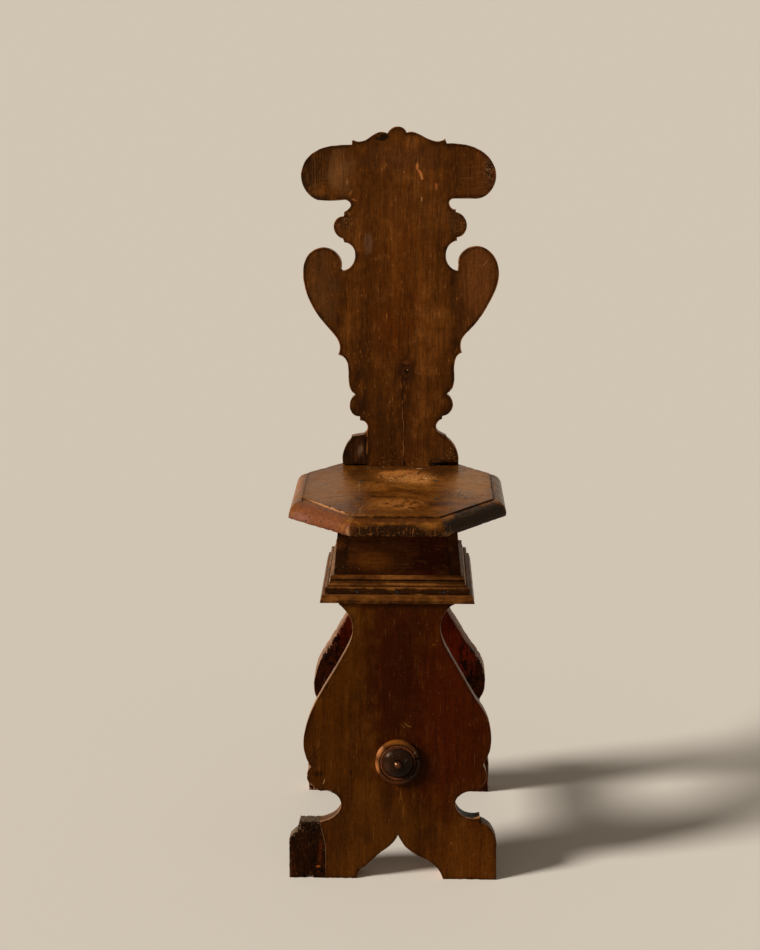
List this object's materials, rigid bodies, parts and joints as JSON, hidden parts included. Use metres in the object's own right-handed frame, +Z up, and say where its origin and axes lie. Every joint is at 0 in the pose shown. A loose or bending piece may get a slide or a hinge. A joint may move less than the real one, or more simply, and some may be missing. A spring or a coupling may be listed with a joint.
{
  "type": "sgabello chair",
  "caption": "Board-leg wooden chair with a moulded octagonal seat on a flared box, splayed shaped legs joined by a keyed stretcher and a shaped back board tenoned through the seat.",
  "frame": {"origin": "on the floor at the centre of the chair's bounding box", "axes": "+Z up, -Y out of the front of the chair, +X to the right as seen from the front"},
  "size_m": [0.286, 0.3463, 0.9686],
  "materials": {
    "seat_walnut": "worn wax polish",
    "back_walnut": "worn wax polish",
    "box_walnut": "worn wax polish",
    "leg_walnut": "worn wax polish",
    "repair_wood": "dark stained, dull",
    "turned_walnut": "worn wax polish",
    "inner_wood": "plain, unpolished",
    "forged_iron": "dark, hand forged"
  },
  "bodies": {
    "root": {"seat_board": "seat_walnut", "seat_nails": "forged_iron", "back_board": "back_walnut", "back_foot_repair": "repair_wood", "back_key": "inner_wood", "box_front_board": "box_walnut", "box_rear_board": "box_walnut", "box_left_board": "box_walnut", "box_right_board": "box_walnut", "box_nails": "forged_iron", "corner_block_front_left": "inner_wood", "corner_block_front_right": "inner_wood", "corner_block_rear_left": "inner_wood", "corner_block_rear_right": "inner_wood", "bottom_board": "box_walnut", "bottom_board_nails": "forged_iron", "moulding_front": "box_walnut", "moulding_rear": "box_walnut", "moulding_left": "box_walnut", "moulding_right": "box_walnut", "moulding_nails": "forged_iron", "front_leg": "leg_walnut", "front_toe_repair_left": "repair_wood", "front_toe_repair_right": "leg_walnut", "front_leg_wedges": "inner_wood", "rear_leg": "leg_walnut", "rear_leg_wedges": "inner_wood", "stretcher": "inner_wood", "stretcher_key": "inner_wood", "boss": "turned_walnut"}
  },
  "joints": []
}
